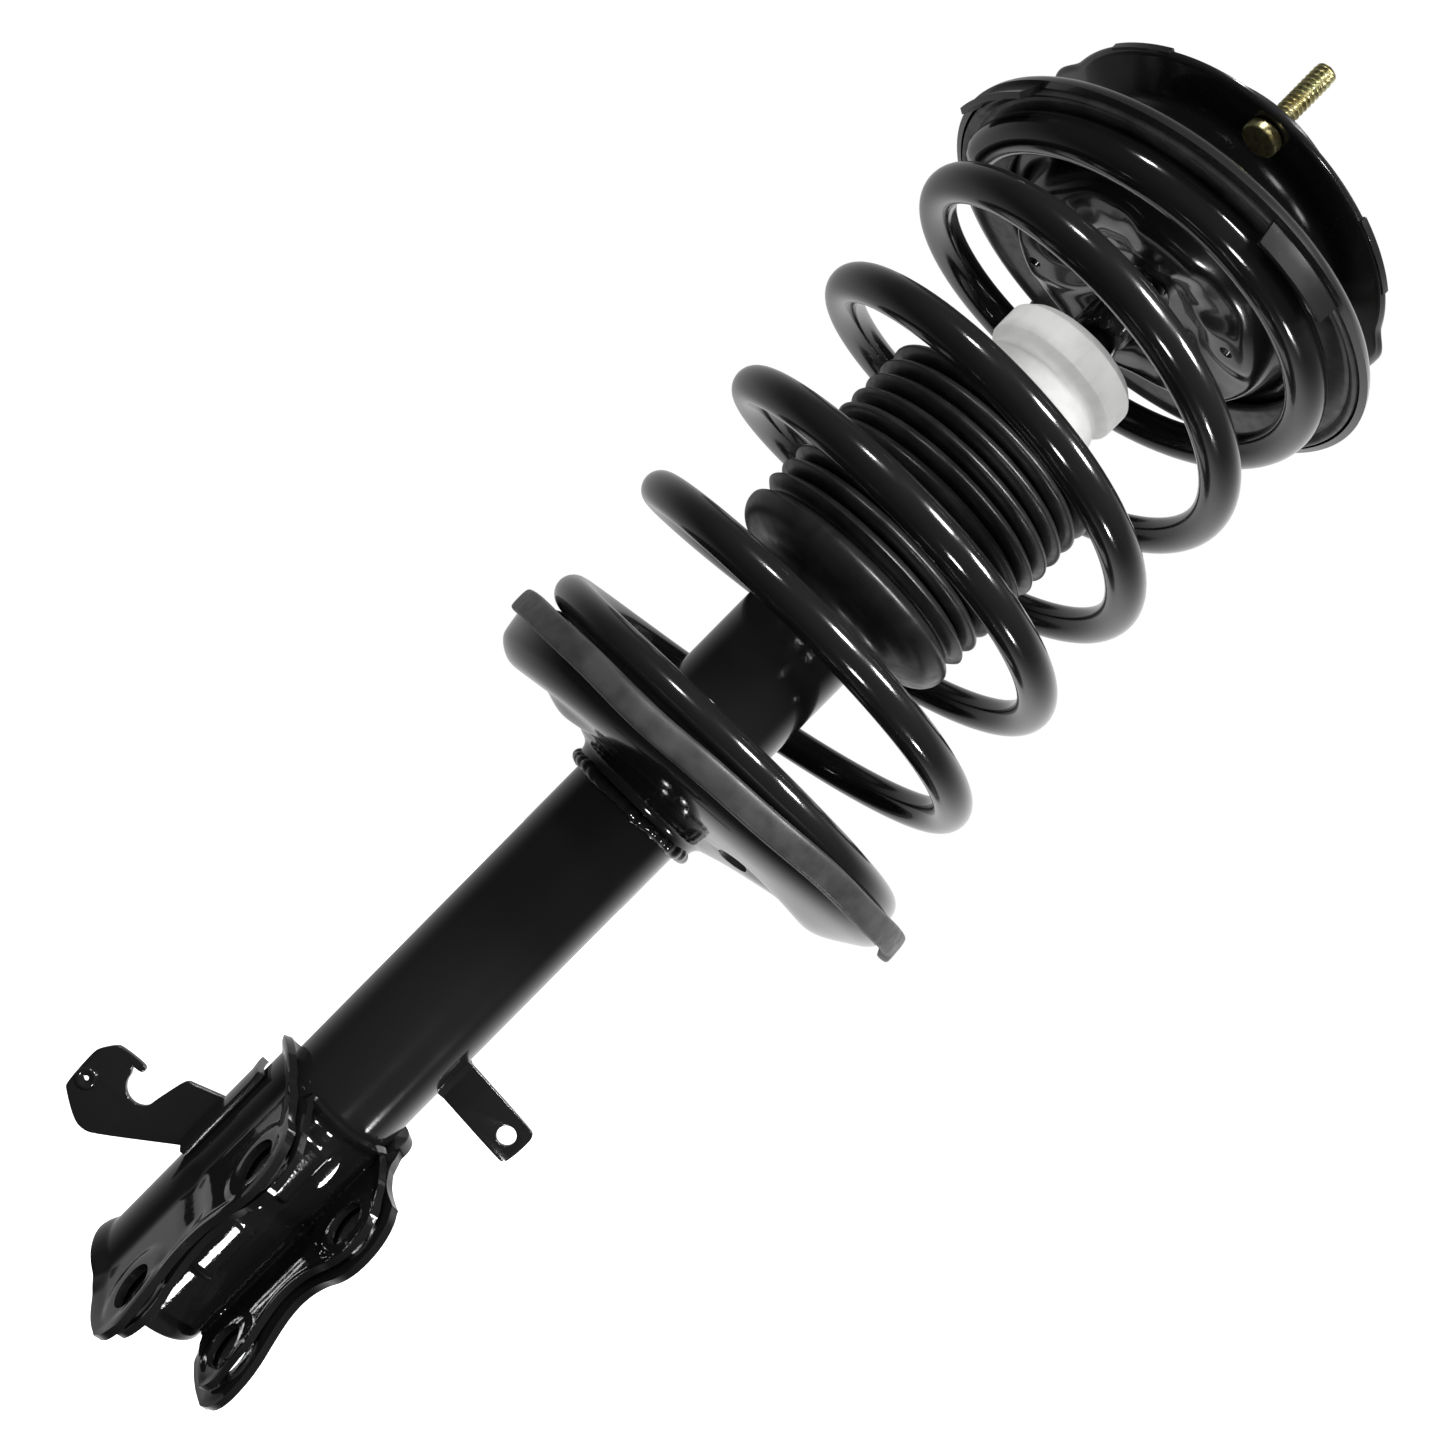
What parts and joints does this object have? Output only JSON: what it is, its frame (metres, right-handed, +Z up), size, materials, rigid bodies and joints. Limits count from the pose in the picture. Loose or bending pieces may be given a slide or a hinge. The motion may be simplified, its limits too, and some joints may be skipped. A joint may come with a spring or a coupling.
{
  "type": "suspension strut assembly",
  "caption": "Front suspension strut: damper, coil spring between leaning seats, dust boot, bump stop, turning top mount on a ball bearing, and a two-bolt knuckle bracket.",
  "frame": {"origin": "middle of the underside of the damper tube's base cap", "axes": "+Z up the damper axis to the top mount, +X the way the knuckle bracket's flanges point, +Y along the knuckle bolts"},
  "size_m": [0.1882, 0.1939, 0.582],
  "materials": {
    "black_paint": "gloss black paint",
    "black_rubber": "satin",
    "seal_rubber": "satin",
    "chrome": "hard chrome plate, ground",
    "steel": "machined",
    "yellow_zinc": "yellow zinc plate",
    "white_foam": "moulded urethane foam",
    "bronze": "satin",
    "cage_plastic": "satin"
  },
  "bodies": {
    "strut_body": {"outer_tube": "black_paint", "base_cap": "black_paint", "base_valve": "steel", "base_valve_shim": "steel", "pressure_tube": "steel", "rod_guide": "steel", "guide_bush": "bronze", "oil_seal": "seal_rubber", "gland_nut": "steel", "lower_spring_seat": "black_paint", "seat_weld": "black_paint", "lower_insulator": "black_rubber", "coil_spring": "black_paint", "knuckle_bracket": "black_paint", "bracket_liner": "black_paint", "hose_bracket": "black_paint", "strap_bracket": "black_paint"},
    "rod": {"piston_rod": "chrome", "piston": "steel", "piston_ring": "bronze", "compression_shim": "steel", "rebound_shim": "steel", "piston_nut": "steel", "rebound_stop": "seal_rubber", "upper_spring_seat": "black_paint", "upper_insulator": "black_rubber", "bearing_spacer": "steel", "bearing_inner_race": "steel", "rod_washer": "steel", "rod_nut": "yellow_zinc"},
    "bump_stop": {"bump_stop": "white_foam", "dust_boot": "black_rubber"},
    "ball_cage": {"bearing_cage": "cage_plastic"},
    "top_mount": {"mount_plate": "black_paint", "mount_cover": "black_paint", "isolator_rubber": "seal_rubber", "bearing_outer_race": "steel", "mount_stud_1": "yellow_zinc", "mount_stud_2": "yellow_zinc", "mount_stud_3": "yellow_zinc"}
  },
  "joints": [
    {"name": "rod_slide", "type": "slide", "parent": "strut_body", "child": "rod", "axis": [0, 0, 1], "range_m": [-0.08, 0], "stiffness_N_per_m": 20000, "springref_m": 0.003, "deforming": ["coil_spring"]},
    {"name": "bump_stop_slide", "type": "slide", "parent": "rod", "child": "bump_stop", "axis": [0, 0, 1], "range_m": [0, 0.012]},
    {"name": "mount_swivel", "type": "hinge", "parent": "rod", "child": "top_mount", "pos_m": [0, 0, 0.5355], "axis": [0, 0, 1], "continuous": true},
    {"name": "cage_spin", "type": "hinge", "parent": "rod", "child": "ball_cage", "pos_m": [0, 0, 0.5355], "axis": [0, 0, 1], "continuous": true}
  ],
  "couplings": [
    {"joint": "cage_spin", "follows": "mount_swivel", "ratio": 0.5}
  ]
}
